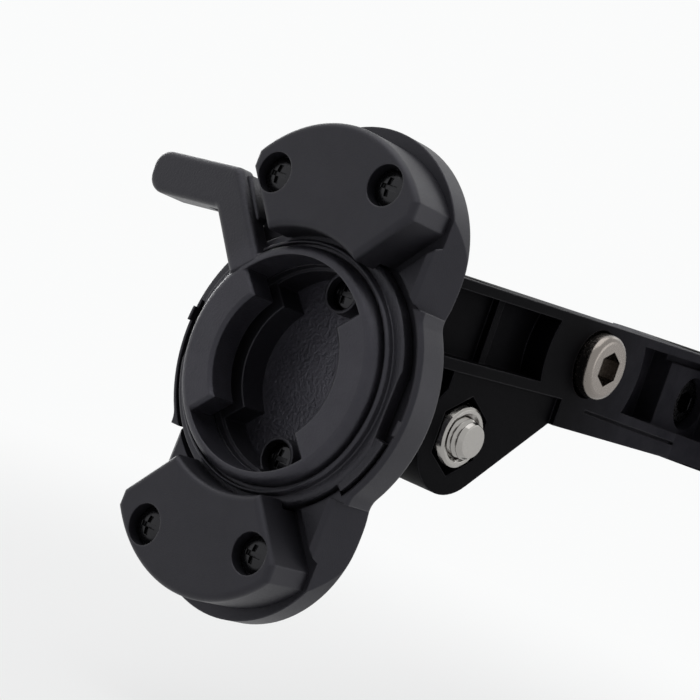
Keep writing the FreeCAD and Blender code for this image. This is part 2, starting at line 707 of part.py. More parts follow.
def arm_half(recess):
    """One half of the arm on the +X side; recess(place) cuts its bolt seats."""
    body = arm_outline().fuse(post_clamp()).removeSplitter()
    body = body.cut(arm_pockets())
    bore = Part.makeCylinder(CLAMP_BORE_R, BIG, V(0, POST_DISTANCE, -BIG / 2), ALONG_Z)
    body = body.cut(bore)
    body = body.cut(block(-1, SLOT_HALF, -BIG, SLOT_END, -BIG, BIG))
    body = body.cut(block(-1, CLAMP_SPLIT / 2, BLOCK_START, BIG, -BIG, BIG))
    body = body.cut(groove())
    for place, bolt in BOLTS.items():
        body = body.cut(rod(bolt.size.shank + SCREW_ROOM, -1, BIG, bolt.y, bolt.z))
        body = body.cut(recess(place))
    return body


Size = collections.namedtuple("Size", "shank cap_r cap_h socket nut_af nut_h")
Bolt = collections.namedtuple("Bolt", "size y z head_seat nut_seat")
M5 = Size(M5_R, M5_CAP_R, M5_CAP_H, M5_SOCKET_AF, M5_NUT_AF, M5_NUT_H)
M4 = Size(M4_R, M4_CAP_R, M4_CAP_H, M4_SOCKET_AF, M4_NUT_AF, M4_NUT_H)
BOLTS = {
    "hinge": Bolt(M5, 0.0, 0.0, HINGE_SEAT, HINGE_SEAT),
    "arm": Bolt(M5, ARM_SCREW_Y, ARM_SCREW_Z, ARM_HEAD_SEAT, ARM_NUT_SEAT),
    "front": Bolt(M4, FRONT_SCREW_Y, CLAMP_SCREW_Z, CLAMP_SEAT, CLAMP_SEAT),
    "rear": Bolt(M4, REAR_SCREW_Y, CLAMP_SCREW_Z, CLAMP_SEAT, CLAMP_SEAT),
}


def head_recess(place):
    """Round seat for a screw head."""
    bolt = BOLTS[place]
    return rod(bolt.size.cap_r + CAP_ROOM, bolt.head_seat, BIG, bolt.y, bolt.z)


def nut_recess(place):
    """Hexagonal seat for a nut."""
    bolt = BOLTS[place]
    return hexagon(bolt.size.nut_af + 2 * NUT_ROOM, bolt.nut_seat, BIG, bolt.y, bolt.z)


def right_recess(place):
    """Right side: nut at the hinge, screw heads elsewhere."""
    return nut_recess(place) if place == "hinge" else head_recess(place)


def left_recess(place):
    """Left side: screw head at the hinge, nuts elsewhere."""
    return head_recess(place) if place == "hinge" else nut_recess(place)


def mirrored(shape):
    """Mirror image on the other side of the middle plane."""
    return shape.mirror(V(0, 0, 0), ALONG_X)


def cap_screw(place):
    """Socket cap screw with its head on the +X side and its end through the nut at -X."""
    size, y, z, seat, nut_seat = BOLTS[place]
    top = seat + size.cap_h
    head = rod(size.cap_r, seat, top, y, z)
    head = head.makeFillet(CAP_ROUND, edges_at(head, 0, top))
    end = -nut_seat - size.nut_h - BOLT_END
    shank = rod(size.shank, end, seat + CAP_ROUND, y, z)
    shank = shank.makeChamfer(END_CHAMFER, edges_at(shank, 0, end))
    socket = hexagon(size.socket, top - size.cap_h / 2, BIG, y, z)
    return head.fuse(shank).cut(socket).removeSplitter()


def hex_nut(place):
    """Hexagon nut on the -X side, its outer corners and its hole bevelled."""
    size, y, z, _, seat = BOLTS[place]
    corner_r = size.nut_af / math.sqrt(3)
    out = -seat - size.nut_h
    bevelled = rod(corner_r, out + NUT_BEVEL, -seat, y, z)
    face_r = size.nut_af / 2 - NUT_FACE_INSET
    bevelled = bevelled.fuse(Part.makeCone(face_r, corner_r, NUT_BEVEL, V(out, y, z), ALONG_X))
    body = hexagon(size.nut_af, out, -seat, y, z).common(bevelled)
    hole_r = size.shank + THREAD_GAP
    sink = Part.makeCone(hole_r + SINK_W, hole_r, SINK_W, V(out, y, z), ALONG_X)
    return body.cut(rod(hole_r, -BIG, BIG, y, z)).cut(sink)


def friction_washers():
    """One washer at each side of the tongue, against the arm."""
    washers = []
    for x in (SLOT_HALF - WASHER_T, -SLOT_HALF):
        ring = rod(WASHER_R, x, x + WASHER_T, 0, 0)
        washers.append(ring.cut(rod(M5_R + SCREW_ROOM, -BIG, BIG, 0, 0)))
    return Part.makeCompound(washers)


def liner():
    """Half shell of rubber between the +X half of the clamp and the post."""
    foot = V(0, POST_DISTANCE, CLAMP_BOTTOM)
    shell = Part.makeCylinder(CLAMP_BORE_R, CLAMP_HEIGHT, foot, ALONG_Z)
    shell = shell.cut(Part.makeCylinder(POST_R, CLAMP_HEIGHT, foot, ALONG_Z))
    return shell.common(block(CLAMP_SPLIT / 2, BIG, -BIG, BIG, -BIG, BIG))


def main():
    os.makedirs("parts", exist_ok=True)
    cover = upper_cover()
    screws = cover_screw_pair()
    save("lock_ring", lock_ring(), place_head)
    save("base_plate", base_plate(), place_head)
    save("upper_cover", cover, place_head)
    save("lower_cover", half_turn(cover), place_head)
    save("upper_cover_screws", screws, place_head)
    save("lower_cover_screws", half_turn(screws), place_head)
    save("cup_floor_screws", floor_screws(), place_head)
    save("hinge_bracket", hinge_bracket(), place_head)
    save("arm_right_half", arm_half(right_recess), place_arm)
    save("arm_left_half", mirrored(arm_half(left_recess)), place_arm)
    save("hinge_bolt", mirrored(cap_screw("hinge")), place_arm)
    save("hinge_nut", mirrored(hex_nut("hinge")), place_arm)
    save("friction_washers", friction_washers(), place_arm)
    save("arm_screw", cap_screw("arm"), place_arm)
    save("arm_nut", hex_nut("arm"), place_arm)
    for place in ("front", "rear"):
        save(place + "_clamp_screw", cap_screw(place), place_arm)
        save(place + "_clamp_nut", hex_nut(place), place_arm)
    save("liner_right", liner(), place_arm)
    save("liner_left", mirrored(liner()), place_arm)


main()
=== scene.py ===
import json
import math

import bmesh
import bpy
import numpy as np
from mathutils import Matrix, Vector


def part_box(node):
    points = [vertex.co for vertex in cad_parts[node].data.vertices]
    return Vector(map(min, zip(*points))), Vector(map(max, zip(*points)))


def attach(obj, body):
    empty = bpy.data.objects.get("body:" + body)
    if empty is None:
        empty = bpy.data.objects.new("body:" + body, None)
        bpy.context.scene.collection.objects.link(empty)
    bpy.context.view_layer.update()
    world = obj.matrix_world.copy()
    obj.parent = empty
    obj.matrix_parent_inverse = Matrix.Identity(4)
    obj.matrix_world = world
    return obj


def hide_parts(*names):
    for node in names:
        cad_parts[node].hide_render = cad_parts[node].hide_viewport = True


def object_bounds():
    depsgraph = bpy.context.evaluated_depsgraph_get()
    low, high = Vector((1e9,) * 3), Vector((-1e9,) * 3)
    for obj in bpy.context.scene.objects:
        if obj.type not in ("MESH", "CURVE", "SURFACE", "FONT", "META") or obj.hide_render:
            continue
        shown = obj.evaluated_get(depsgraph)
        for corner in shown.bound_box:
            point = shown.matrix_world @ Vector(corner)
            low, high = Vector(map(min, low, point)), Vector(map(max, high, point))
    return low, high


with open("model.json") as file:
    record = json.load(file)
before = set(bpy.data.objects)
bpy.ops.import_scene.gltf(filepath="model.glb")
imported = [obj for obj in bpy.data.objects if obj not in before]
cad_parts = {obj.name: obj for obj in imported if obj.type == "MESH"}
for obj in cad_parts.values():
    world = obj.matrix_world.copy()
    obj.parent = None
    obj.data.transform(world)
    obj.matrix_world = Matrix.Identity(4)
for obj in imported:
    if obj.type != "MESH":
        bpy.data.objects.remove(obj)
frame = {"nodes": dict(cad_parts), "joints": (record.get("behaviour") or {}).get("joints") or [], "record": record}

bl_info = {
    "name": "Seatpost light mount finish",
    "version": (1, 0, 0),
    "blender": (4, 5, 0),
    "location": "View3D > Sidebar > Light mount",
    "description": "Finishes, small hardware detail, floor, light and camera of a seatpost light mount",
    "category": "Object",
}

NODES = frame["nodes"]
JOINTS = {joint["name"]: joint for joint in frame["joints"]}
CAD_BOX = [list(corner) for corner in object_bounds()]
MM = 0.001

# Middle part of a noise's values, over which a tone or a gloss changes
NOISE_LOW = 0.3
NOISE_HIGH = 0.7

# Cosine of the angle between the rounded and the flat normal, away from an edge and on it
FLAT_LEAN = 0.97
EDGE_LEAN = 0.8
EDGE_SAMPLES = 6

# Waves a metre of the nylon's mottling, the steel's scratches and the rubber's grain
MOTTLE_SCALE = 210.0
SCRATCH_SCALE = 2600.0
RUBBER_SCALE = 2200.0

# Least and greatest roughness: steps from the nylon's own, shares of the steel's own, and the rubber's
NYLON_GLOSS = (-0.05, 0.06)
STEEL_GLOSS = (0.7, 1.4)
RUBBER_GLOSS = (0.66, 0.82)

NYLON_IOR = 1.53
RUBBER_IOR = 1.5
STEEL_EDGE = 0.12 * MM

# Fade that changes nothing: two distances from the socket and the factor of the tone between them
NO_FADE = (0.0, 1.0, 1.0)

# Points round the bolt, the nut and the rib, and along a rounded head, a pitch of thread and a bevel
BOLT_POINTS = 96
NUT_POINTS = 144
RIB_POINTS = 48
ROUND_POINTS = 7
PITCH_POINTS = 10
BEVEL_POINTS = 14

# Stations along the rib, as shares of its length, and the size of its section at each
RIB_STATIONS = np.array([0, 0, 0.05, 0.5, 0.95, 1, 1])
RIB_SECTIONS = np.array([0, 0.85, 1, 1, 1, 0.85, 0])

# Distance under which points merge, half the floor's side and the camera's reach, in metres
MERGE_DISTANCE = 1e-7
FLOOR_HALF = 3.0
CLIP_START = 0.01
CLIP_END = 20
SENSOR_WIDTH_MM = 36


def head_frame():
    """Matrix from the head's own frame to the row frame.

    The origin is on the ring's axis at its front face, X is the hinge axis, Y runs into the
    socket and Z is X x Y.
    """
    joint = JOINTS["ring_turn"]
    x = Vector((1, 0, 0))
    y = -Vector(joint["axis"]).normalized()
    z = x.cross(y)
    return Matrix.Translation(joint["pos_m"]) @ Matrix((x, y, z)).transposed().to_4x4()


HEAD = head_frame()


def tree_of(name):
    """New material and its empty node tree."""
    material = bpy.data.materials.new(name)
    material.use_nodes = True
    material.node_tree.nodes.clear()
    return material, material.node_tree


def add(tree, kind, inputs=None, **settings):
    """New node with its settings, each input linked to a socket or set to a plain value."""
    node = tree.nodes.new(kind)
    for key, value in settings.items():
        setattr(node, key, value)
    for key, value in (inputs or {}).items():
        if isinstance(value, bpy.types.NodeSocket):
            tree.links.new(value, node.inputs[key])
        else:
            node.inputs[key].default_value = value
    return node


def place_on(tree):
    """Place on the piece, in the row frame."""
    return add(tree, "ShaderNodeTexCoord").outputs["Object"]


def noise(tree, scale, detail, roughness):
    """Noise over the piece, with its scale in waves a metre."""
    node = add(tree, "ShaderNodeTexNoise", {
        "Vector": place_on(tree), "Scale": scale, "Detail": detail, "Roughness": roughness})
    return node.outputs["Fac"]


def spread(tree, value, low, high):
    """Level from low to high that follows the middle part of a noise's values."""
    node = add(tree, "ShaderNodeMapRange", {
        "Value": value, "From Min": NOISE_LOW, "From Max": NOISE_HIGH, "To Min": low, "To Max": high})
    return node.outputs["Result"]


def mixed_colour(tree, factor, first, second):
    """Colour between two, on the Mix node's colour sockets, which only their numbers tell apart."""
    return add(tree, "ShaderNodeMix", {0: factor, 6: first, 7: second}, data_type="RGBA").outputs[2]


def mixed_level(tree, factor, first, second):
    """Number between two, on the Mix node's number sockets."""
    return add(tree, "ShaderNodeMix", {0: factor, 2: first, 3: second}, data_type="FLOAT").outputs[0]


def rounded_normal(tree, radius):
    """Normal of a surface whose edges are rounded to a radius."""
    return add(tree, "ShaderNodeBevel", {"Radius": radius}, samples=EDGE_SAMPLES).outputs["Normal"]


def relief(tree, height, depth, strength, under=None):
    """Normal of a surface with a relief of a depth in millimetres, over a given normal or the plain one."""
    inputs = {"Height": height, "Distance": depth * MM, "Strength": strength}
    if under is not None:
        inputs["Normal"] = under
    return add(tree, "ShaderNodeBump", inputs).outputs["Normal"]


def polish_and_highlight_edge(tree, rounded):
    """Mask of the edges, where the rounded normal leans away from the flat one."""
    flat = add(tree, "ShaderNodeNewGeometry").outputs["Normal"]
    lean = add(tree, "ShaderNodeVectorMath", {0: rounded, 1: flat}, operation="DOT_PRODUCT").outputs["Value"]
    mask = add(tree, "ShaderNodeMapRange", {"Value": lean, "From Min": FLAT_LEAN, "From Max": EDGE_LEAN})
    return mask.outputs["Result"]


def surface(tree, shader):
    """Show a shader on the material's surface."""
    add(tree, "ShaderNodeOutputMaterial", {"Surface": shader.outputs[0]})


def moulded(name, look, grain, depth, lift, roughness, specular, fade=NO_FADE):
    """Satin glass-filled nylon: spark-eroded grain, soft mottling, and edges with a polished roughness and a pale
    painted highlight.

    The grain's size and depth are in millimetres. The tone is the black times the lift, and the fade
    gives two distances from the socket, between which the lift changes, and the factor of the change;
    the ring uses it for painted light and painted shade, and the arm for painted shade.
    """
    material, tree = tree_of(name)
    fine = noise(tree, 1 / (grain * MM), detail=3.0, roughness=0.6)
    broad = noise(tree, MOTTLE_SCALE, detail=5.0, roughness=0.6)
    black = mixed_colour(tree, spread(tree, broad, 0, 1), look.plastic_dark, look.plastic_light)
    far = add(tree, "ShaderNodeVectorMath", {0: place_on(tree), 1: HEAD.translation}, operation="DISTANCE")
    start, end, factor = fade
    level = add(tree, "ShaderNodeMapRange", {
        "Value": far.outputs["Value"], "From Min": start, "From Max": end,
        "To Min": lift, "To Max": lift * factor})
    shade = add(tree, "ShaderNodeVectorMath", {0: black, "Scale": level.outputs["Result"]}, operation="SCALE")
    low, high = NYLON_GLOSS
    satin = spread(tree, fine, roughness + low, roughness + high)
    rounded = rounded_normal(tree, look.edge_round)
    # Edge mask: it gives the edges a lower roughness for polish, and a pale colour that is a painted highlight
    edges = polish_and_highlight_edge(tree, rounded)
    surface(tree, add(tree, "ShaderNodeBsdfPrincipled", {
        "Base Color": mixed_colour(tree, edges, shade.outputs["Vector"], look.painted_edge_highlight),
        "Roughness": mixed_level(tree, edges, satin, look.edge_gloss),
        "Normal": relief(tree, fine, depth, strength=1.0, under=rounded),
        "IOR": NYLON_IOR,
        "Specular IOR Level": specular,
        "Specular Tint": look.sheen}))
    return material


def metal(name, colour, roughness, scratch):
    """Turned steel with softened edges and scratches of a depth in millimetres, which vary its gloss."""
    material, tree = tree_of(name)
    scratches = noise(tree, SCRATCH_SCALE, detail=4.0, roughness=0.7)
    rounded = rounded_normal(tree, STEEL_EDGE)
    low, high = STEEL_GLOSS
    surface(tree, add(tree, "ShaderNodeBsdfPrincipled", {
        "Base Color": colour,
        "Metallic": 1.0,
        "Roughness": spread(tree, scratches, roughness * low, roughness * high),
        "Normal": relief(tree, scratches, scratch, strength=0.5, under=rounded)}))
    return material


def rubber(name, look, depth):
    """Matt rubber with a fine moulded grain of a depth in millimetres."""
    material, tree = tree_of(name)
    grain = noise(tree, RUBBER_SCALE, detail=3.0, roughness=0.5)
    surface(tree, add(tree, "ShaderNodeBsdfPrincipled", {
        "Base Color": look.rubber_colour,
        "IOR": RUBBER_IOR,
        "Roughness": spread(tree, grain, *RUBBER_GLOSS),
        "Normal": relief(tree, grain, depth, strength=0.6)}))
    return material


def dress(names, material):
    """Give CAD nodes one material."""
    for name in names:
        slots = NODES[name].data.materials
        slots.clear()
        slots.append(material)


def full_turn(points):
    """Angles of evenly spaced points round an axis."""
    return np.linspace(0, 2 * math.pi, points, endpoint=False)


def hexagon_radius(flats, turn):
    """Distance from a hexagon's middle to its outline, in each direction of an array.

    It is half the width across flats over the cosine of the angle to the middle of the nearest flat.
    """
    sixth = math.pi / 3
    return flats / 2 / np.cos(np.mod(turn, sixth) - sixth / 2)


def grid_piece(name, points, ring):
    """Solid skin over a grid of points, round in its columns.

    The rows run along the solid: each end row lies in one point, or the last row joins the first.
    """
    rows, columns = points.shape[:2]
    i = np.arange(rows if ring else rows - 1)[:, None]
    j = np.arange(columns)
    after = (j + 1) % columns
    below = (i + 1) % rows
    quads = np.stack(np.broadcast_arrays(
        i * columns + j, i * columns + after, below * columns + after, below * columns + j), axis=-1)
    mesh = bpy.data.meshes.new(name)
    mesh.from_pydata(points.reshape(-1, 3).tolist(), [], quads.reshape(-1, 4).tolist())
    solid = bmesh.new()
    solid.from_mesh(mesh)
    bmesh.ops.remove_doubles(solid, verts=solid.verts, dist=MERGE_DISTANCE)
    bmesh.ops.recalc_face_normals(solid, faces=solid.faces)
    solid.to_mesh(mesh)
    solid.free()
    piece = bpy.data.objects.new(name, mesh)
    bpy.context.scene.collection.objects.link(piece)
    return piece


def lathe_piece(name, x, radius, turn, middle):
    """Turned solid (x(i), r(i,j) sin t(j), r(i,j) cos t(j)) about an axis along X through a point."""
    points = np.stack(np.broadcast_arrays(x[:, None], radius * np.sin(turn), radius * np.cos(turn)), axis=-1)
    return grid_piece(name, points + (0, middle.y, middle.z), bool(radius[0].any()))


def threaded_bolt(name, hardware):
    """Socket cap bolt along X, its head towards -X, as one turned surface.

    Its radius is r(x,t) = R - d tri(x/p - t/2pi) on the thread, with tri a triangle wave between 0
    and 1, p the pitch and d the depth, the outline of a hexagon in the socket, and a profile of
    straight runs and quarter rounds elsewhere.
    """
    low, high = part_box("hinge_bolt")
    x0, x1 = low.x, high.x
    head_r = (high.y - low.y) / 2
    shank_r = hardware.bolt_radius
    seat = x0 + hardware.head_height
    soft = hardware.head_round
    turn = full_turn(BOLT_POINTS)
    quarter = np.linspace(0, math.pi / 2, ROUND_POINTS)
    hollow = np.repeat(hexagon_radius(hardware.socket_flats, turn)[None], 2, axis=0)
    step = hardware.pitch / PITCH_POINTS
    thread_x = np.arange(seat + hardware.plain_length, x1 - hardware.end_chamfer, step)
    wave = np.abs(2 * np.mod(thread_x[:, None] / hardware.pitch - turn / (2 * math.pi), 1) - 1)
    thread = shank_r - hardware.thread_depth * wave
    head_x = np.concatenate((x0 + soft - soft * np.cos(quarter), [seat, seat]))
    head = np.concatenate((head_r - soft + soft * np.sin(quarter), [head_r, shank_r]))
    end = np.array([shank_r - hardware.thread_depth, shank_r - hardware.end_chamfer, 0])
    floor = x0 + hardware.head_height / 2
    x = np.concatenate(([floor, floor, x0], head_x, [thread_x[0]], thread_x,
                        [x1 - hardware.end_chamfer + hardware.thread_depth, x1, x1]))
    even = np.ones_like(turn)
    radius = np.concatenate((0 * even[None], hollow, head[:, None] * even, shank_r * even[None], thread,
                             end[:, None] * even))
    return lathe_piece(name, x, radius, turn, (low + high) / 2)


def bevelled_nut(name, hardware):
    """Hexagon nut along X with a round face: r(x,t) = min(h(t), f + s (x1 - x)).

    h is the outline of a hexagon, f the radius of the face at x1 and s the slope of the bevel, and
    the bore has a countersink at the face.
    """
    low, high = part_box("hinge_nut")
    x0, x1 = low.x, high.x
    turn = full_turn(NUT_POINTS)
    flats = hexagon_radius(high.y - low.y, turn)
    bore = hardware.bolt_radius + hardware.thread_gap
    sink = hardware.nut_sink
    soft = hardware.nut_edge
    face = hardware.nut_face
    bevel_x = np.linspace(x1 - soft, x1 - hardware.nut_bevel, BEVEL_POINTS)
    bevel = face + (x1 - bevel_x) * hardware.nut_slope
    outer = np.minimum(flats, bevel[:, None])
    x = np.concatenate(([x1 - sink, x1, x1], bevel_x, [x0, x0]))
    even = np.ones_like(turn)
    radius = np.concatenate((bore * even[None], (bore + sink) * even[None], (face - soft) * even[None],
                             outer, flats[None], bore * even[None]))
    return lathe_piece(name, x, radius, turn, (low + high) / 2)


def rib_behind_lever(name, sizes):
    """Rib behind the lever's bar: a rounded oblong swept along the straight middle line of the bar.

    Its surface is p + s e + k(s) (a(t) u + b(t) v) in the head's own frame, with p the bar's root, e along
    the bar, u across it, v into the socket, (a, b) the superellipse |a/w|^n + |b/d|^n = 1 of half the
    width w and half the depth d, and k the size of the section, which is 0 at both ends.
    """
    def spot(radius, angle):
        return np.array([radius * math.cos(angle), 0, radius * math.sin(angle)])

    inward = np.array([0, 1, 0])
    root = spot(sizes.root_radius, sizes.root_angle)
    elbow = spot(sizes.elbow_radius, sizes.elbow_angle)
    along = (elbow - root) / np.linalg.norm(elbow - root)
    across = np.cross(along, inward)
    depth = (sizes.rib_back - sizes.rib_front) / 2
    turn = full_turn(RIB_POINTS)
    power = 2 / sizes.rib_squareness
    a = np.sign(np.cos(turn)) * np.abs(np.cos(turn)) ** power * sizes.rib_width / 2
    b = np.sign(np.sin(turn)) * np.abs(np.sin(turn)) ** power * depth
    s = sizes.rib_start + RIB_STATIONS * sizes.rib_length
    middle = root + s[:, None] * along + (sizes.rib_front + depth) * inward
    section = a[:, None] * across + b[:, None] * inward
    points = middle[:, None] + RIB_SECTIONS[:, None, None] * section
    turned = points.reshape(-1, 3) @ np.array(HEAD.to_3x3()).T + np.array(HEAD.translation)
    return grid_piece(name, turned.reshape(points.shape), False)


def area_lamp(name, place, aim, size, power):
    """Soft square lamp at a place of the row frame, turned to a point."""
    data = bpy.data.lights.new(name, "AREA")
    data.shape = "SQUARE"
    data.size = size
    data.energy = power
    lamp = bpy.data.objects.new(name, data)
    lamp.location = place
    lamp.rotation_euler = (aim - place).to_track_quat("-Z", "Y").to_euler()
    bpy.context.scene.collection.objects.link(lamp)


def floor_level():
    """Height of the lowest point that the part reaches, at rest or with the head tilted all the way."""
    joint = JOINTS["head_tilt"]
    pivot = np.array(joint["pos_m"])
    swing = np.array(Matrix.Rotation(math.radians(joint["range_deg"][1]), 3, Vector(joint["axis"])))
    low = CAD_BOX[0][2]
    for name in frame["record"]["behaviour"]["bodies"]["head"]:
        vertices = NODES[name].data.vertices
        points = np.empty(3 * len(vertices), dtype=np.float32)
        vertices.foreach_get("co", points)
        swung = pivot + (points.reshape(-1, 3) - pivot) @ swing.T
        low = min(low, float(swung[:, 2].min()))
    return low


def seen_directly(tree):
    """1 for the rays that show the background: from the camera, or by way of a gloss or a clear piece."""
    path = add(tree, "ShaderNodeLightPath").outputs
    gloss = add(tree, "ShaderNodeMath", {0: path["Is Camera Ray"], 1: path["Is Glossy Ray"]},
                operation="MAXIMUM")
    seen = add(tree, "ShaderNodeMath", {0: gloss.outputs[0], 1: path["Is Transmission Ray"]},
               operation="MAXIMUM")
    return seen.outputs[0]


def pale_floor(scene, stage):
    """Horizontal floor under the part, which fades into the white backdrop away from it."""
    low = floor_level()
    corners = [(x, y, low) for x, y in ((-FLOOR_HALF, -FLOOR_HALF), (FLOOR_HALF, -FLOOR_HALF),
                                        (FLOOR_HALF, FLOOR_HALF), (-FLOOR_HALF, FLOOR_HALF))]
    mesh = bpy.data.meshes.new("floor")
    mesh.from_pydata(corners, [], [(0, 1, 2, 3)])
    floor = bpy.data.objects.new("floor", mesh)
    scene.collection.objects.link(floor)
    material, tree = tree_of("pale_floor")
    under_head = (HEAD.translation.x, HEAD.translation.y, low)
    far = add(tree, "ShaderNodeVectorMath", {0: place_on(tree), 1: under_head}, operation="DISTANCE")
    fade = add(tree, "ShaderNodeMapRange", {
        "Value": far.outputs["Value"], "From Min": stage.fade_start, "From Max": stage.fade_end,
        "To Min": stage.fade_near}, interpolation_type="SMOOTHSTEP")
    seen = add(tree, "ShaderNodeMath", {0: fade.outputs["Result"], 1: seen_directly(tree)},
               operation="MULTIPLY")
    lit = add(tree, "ShaderNodeBsdfDiffuse", {"Color": stage.floor_colour})
    plain = add(tree, "ShaderNodeEmission", {"Color": stage.backdrop, "Strength": 1.0})
    mix = add(tree, "ShaderNodeMixShader", {0: seen.outputs[0], 1: lit.outputs[0], 2: plain.outputs[0]})
    surface(tree, mix)
    mesh.materials.append(material)


def studio_world(scene, stage):
    """Dim even light from all round, and a white backdrop where it is seen."""
    world = bpy.data.worlds.new("studio")
    world.use_nodes = True
    tree = world.node_tree
    tree.nodes.clear()
    light = add(tree, "ShaderNodeBackground", {"Color": stage.world_colour, "Strength": stage.world_level})
    plain = add(tree, "ShaderNodeBackground", {"Color": stage.backdrop, "Strength": 1.0})
    mix = add(tree, "ShaderNodeMixShader", {0: seen_directly(tree), 1: light.outputs[0], 2: plain.outputs[0]})
    add(tree, "ShaderNodeOutputWorld", {"Surface": mix.outputs[0]})
    scene.world = world


def photo_camera(scene, stage):
    """Camera at the photograph's place, given in the head's own frame."""
    data = bpy.data.cameras.new("photo_camera")
    data.sensor_width = SENSOR_WIDTH_MM
    data.lens = stage.lens
    data.clip_start = CLIP_START
    data.clip_end = CLIP_END
    camera = bpy.data.objects.new("photo_camera", data)
    forward = Vector(stage.forward).normalized()
    right = forward.cross(Vector(stage.up)).normalized()
    up = right.cross(forward)
    turn = Matrix((right, up, -forward)).transposed().to_4x4()
    camera.matrix_world = HEAD @ Matrix.Translation(stage.eye) @ turn
    scene.collection.objects.link(camera)
    scene.camera = camera


class MountLever(bpy.types.PropertyGroup):
    """Place and size of the rib behind the lever's bar, in the head's own frame."""

    root_radius: bpy.props.FloatProperty(
        name="Root radius", description="Radius at which the bar leaves the ring",
        unit="LENGTH", default=0.0137, min=0)
    root_angle: bpy.props.FloatProperty(
        name="Root angle", description="Direction of the bar's root from the ring's axis",
        subtype="ANGLE", unit="ROTATION", default=math.radians(137.2))
    elbow_radius: bpy.props.FloatProperty(
        name="Elbow radius", description="Radius at which the bar bends",
        unit="LENGTH", default=0.02346, min=0)
    elbow_angle: bpy.props.FloatProperty(
        name="Elbow angle", description="Direction of the bar's bend from the ring's axis",
        subtype="ANGLE", unit="ROTATION", default=math.radians(134.5))
    rib_start: bpy.props.FloatProperty(
        name="Rib start", description="Distance of the rib from the bar's root",
        unit="LENGTH", default=0.0045, min=0)
    rib_length: bpy.props.FloatProperty(
        name="Rib length", description="Length of the rib", unit="LENGTH", default=0.0062, min=0)
    rib_width: bpy.props.FloatProperty(
        name="Rib width", description="Width of the rib", unit="LENGTH", default=0.0054, min=0)
    rib_front: bpy.props.FloatProperty(
        name="Rib front", description="Level of the rib's front behind the ring's face",
        unit="LENGTH", default=0.0012)
    rib_back: bpy.props.FloatProperty(
        name="Rib back", description="Level of the rib's back behind the ring's face",
        unit="LENGTH", default=0.0032)
    rib_squareness: bpy.props.FloatProperty(
        name="Rib squareness", description="Power of the rib's superellipse", default=7.0, min=2)


class MountHardware(bpy.types.PropertyGroup):
    """Sizes of the threaded hinge bolt and its nut."""

    bolt_radius: bpy.props.FloatProperty(
        name="Bolt radius", description="Outer radius of the thread", unit="LENGTH", default=0.0025, min=0)
    head_height: bpy.props.FloatProperty(
        name="Head height", description="Height of the bolt's head", unit="LENGTH", default=0.005, min=0)
    head_round: bpy.props.FloatProperty(
        name="Head round", description="Rounding of the head's edge", unit="LENGTH", default=0.0009, min=0)
    socket_flats: bpy.props.FloatProperty(
        name="Socket", description="Width across the flats of the socket",
        unit="LENGTH", default=0.004, min=0)
    plain_length: bpy.props.FloatProperty(
        name="Plain length", description="Length of the shank without thread",
        unit="LENGTH", default=0.007, min=0)
    pitch: bpy.props.FloatProperty(
        name="Pitch", description="Pitch of the thread", unit="LENGTH", default=0.0008, min=0.0001)
    thread_depth: bpy.props.FloatProperty(
        name="Thread depth", description="Depth of the thread", unit="LENGTH", default=0.00042, min=0)
    end_chamfer: bpy.props.FloatProperty(
        name="End chamfer", description="Width of the bevel at the bolt's end",
        unit="LENGTH", default=0.0005, min=0)
    thread_gap: bpy.props.FloatProperty(
        name="Thread gap", description="Room between the bolt and the nut's bore",
        unit="LENGTH", default=0.00002, min=0)
    nut_sink: bpy.props.FloatProperty(
        name="Nut sink", description="Width of the countersink in the nut",
        unit="LENGTH", default=0.00055, min=0)
    nut_edge: bpy.props.FloatProperty(
        name="Nut edge", description="Rounding of the edge of the nut's face",
        unit="LENGTH", default=0.0002, min=0)
    nut_face: bpy.props.FloatProperty(
        name="Nut face", description="Radius of the round face of the nut",
        unit="LENGTH", default=0.0037, min=0)
    nut_bevel: bpy.props.FloatProperty(
        name="Nut bevel", description="Depth of the bevel at the nut's corners",
        unit="LENGTH", default=0.0024, min=0)
    nut_slope: bpy.props.FloatProperty(
        name="Nut slope", description="Widening of the bevel for each unit of depth", default=0.42, min=0)


